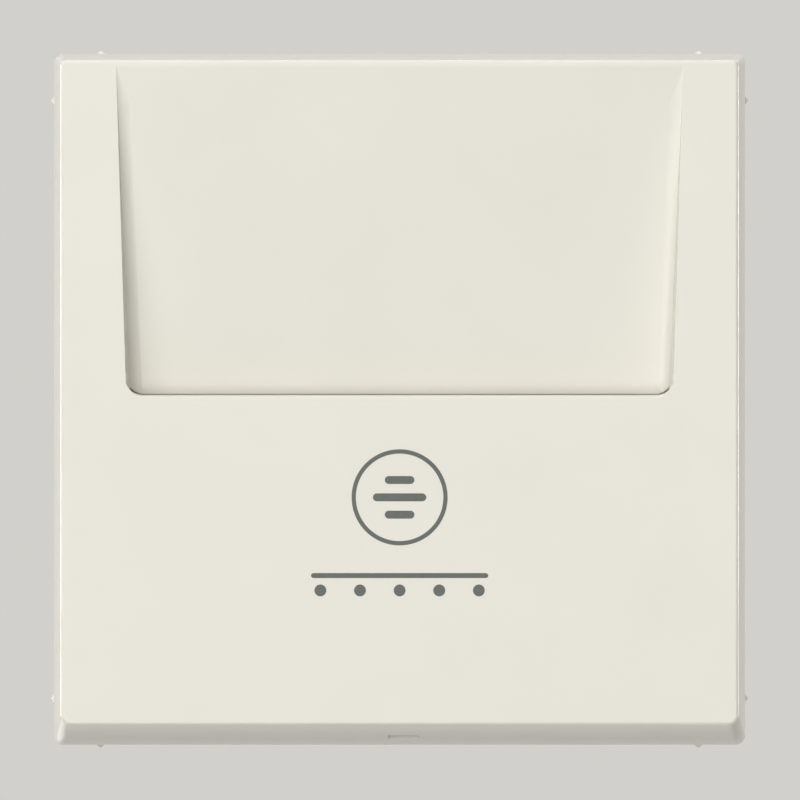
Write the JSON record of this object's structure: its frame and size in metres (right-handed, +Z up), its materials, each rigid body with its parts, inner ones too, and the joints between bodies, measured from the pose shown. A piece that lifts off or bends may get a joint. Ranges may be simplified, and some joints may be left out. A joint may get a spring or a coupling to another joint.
{
  "type": "hotel key card switch",
  "caption": "Flush-mounted key card switch: square centre plate with a card ramp and slot, card lever, rocker, contacts, support ring and claws.",
  "frame": {"origin": "middle of the wall plane, halfway between the two box screws, on the support ring's rear face", "axes": "+X to the right seen from the front, -Y out of the wall towards the user, +Z up along the card ramp"},
  "size_m": [0.0706, 0.0425, 0.0706],
  "materials": {
    "cover_plastic": "smooth glossy thermoplastic, ivory white",
    "guide_plastic": "satin moulded plastic, off-white",
    "lever_plastic": "satin moulded plastic, anthracite",
    "rocker_plastic": "satin moulded plastic, light grey",
    "insert_plastic": "satin moulded plastic, dark grey",
    "base_plastic": "satin moulded plastic, pale grey",
    "key_plastic": "satin moulded plastic, orange",
    "ring_steel": "zinc-plated sheet steel",
    "screw_steel": "zinc-plated steel",
    "spring_steel": "bright spring steel",
    "contact_brass": "rolled brass sheet",
    "contact_silver": "silver alloy contact"
  },
  "bodies": {
    "root": {"front_cover": "cover_plastic", "card_guide": "guide_plastic", "guide_screws": "screw_steel", "lever_pin": "screw_steel", "support_ring": "ring_steel", "insert_cover": "insert_plastic", "insert_screws": "screw_steel", "rocker_pin": "screw_steel", "return_spring": "spring_steel", "insert_base": "base_plastic", "arm_pin": "screw_steel", "terminal_common": "contact_brass", "terminal_switched": "contact_brass", "fixed_contact": "contact_silver", "clamp_spring_common": "spring_steel", "clamp_spring_switched": "spring_steel"},
    "card_lever": {"card_lever": "lever_plastic"},
    "rocker": {"rocker": "rocker_plastic"},
    "contact_arm": {"contact_arm": "contact_brass", "moving_contact": "contact_silver"},
    "release_key_common": {"release_key_common": "key_plastic"},
    "release_key_switched": {"release_key_switched": "key_plastic"},
    "claw_screw_left": {"claw_screw_left": "screw_steel"},
    "claw_nut_left": {"claw_nut_left": "screw_steel"},
    "claw_left": {"claw_left": "ring_steel"},
    "claw_screw_right": {"claw_screw_right": "screw_steel"},
    "claw_nut_right": {"claw_nut_right": "screw_steel"},
    "claw_right": {"claw_right": "ring_steel"}
  },
  "joints": [
    {"name": "card_lever_pivot", "type": "hinge", "parent": "root", "child": "card_lever", "pos_m": [0, -0.008, 0.002], "axis": [1, 0, 0], "range_deg": [0, 4.6], "stiffness_Nm_per_rad": 0.15, "springref_deg": -5.73, "deforming": ["return_spring"]},
    {"name": "rocker_pivot", "type": "hinge", "parent": "root", "child": "rocker", "pos_m": [0, -0.0018, 0], "axis": [1, 0, 0], "range_deg": [0, 5.31], "deforming": ["return_spring"]},
    {"name": "contact_arm_pivot", "type": "hinge", "parent": "root", "child": "contact_arm", "pos_m": [0, 0.009, 0.011], "axis": [1, 0, 0], "range_deg": [0, 2.24]},
    {"name": "release_key_common_press", "type": "slide", "parent": "root", "child": "release_key_common", "axis": [0, -1, 0], "range_m": [0, 0.0012], "stiffness_N_per_m": 1000, "springref_m": -0.001, "deforming": ["clamp_spring_common"]},
    {"name": "release_key_switched_press", "type": "slide", "parent": "root", "child": "release_key_switched", "axis": [0, -1, 0], "range_m": [0, 0.0012], "stiffness_N_per_m": 1000, "springref_m": -0.001, "deforming": ["clamp_spring_switched"]},
    {"name": "claw_screw_left_turn", "type": "hinge", "parent": "root", "child": "claw_screw_left", "pos_m": [-0.0235, 0, 0], "axis": [0, 1, 0], "range_deg": [0, 3600]},
    {"name": "claw_nut_left_travel", "type": "slide", "parent": "root", "child": "claw_nut_left", "axis": [0, -1, 0], "range_m": [0, 0.005]},
    {"name": "claw_left_swing", "type": "hinge", "parent": "claw_nut_left", "child": "claw_left", "pos_m": [-0.0235, 0.019, 0], "axis": [0, 0, -1], "range_deg": [0, 18]},
    {"name": "claw_screw_right_turn", "type": "hinge", "parent": "root", "child": "claw_screw_right", "pos_m": [0.0235, 0, 0], "axis": [0, 1, 0], "range_deg": [0, 3600]},
    {"name": "claw_nut_right_travel", "type": "slide", "parent": "root", "child": "claw_nut_right", "axis": [0, -1, 0], "range_m": [0, 0.005]},
    {"name": "claw_right_swing", "type": "hinge", "parent": "claw_nut_right", "child": "claw_right", "pos_m": [0.0235, 0.019, 0], "axis": [0, 0, 1], "range_deg": [0, 18]}
  ],
  "couplings": [
    {"joint": "rocker_pivot", "follows": "card_lever_pivot", "ratio": 1.1429},
    {"joint": "contact_arm_pivot", "follows": "card_lever_pivot", "ratio": 0.4755},
    {"joint": "claw_screw_left_turn", "follows": "claw_nut_left_travel", "rad_per_m": 12566},
    {"joint": "claw_left_swing", "follows": "claw_nut_left_travel", "rad_per_m": 62.83},
    {"joint": "claw_screw_right_turn", "follows": "claw_nut_right_travel", "rad_per_m": 12566},
    {"joint": "claw_right_swing", "follows": "claw_nut_right_travel", "rad_per_m": 62.83}
  ]
}
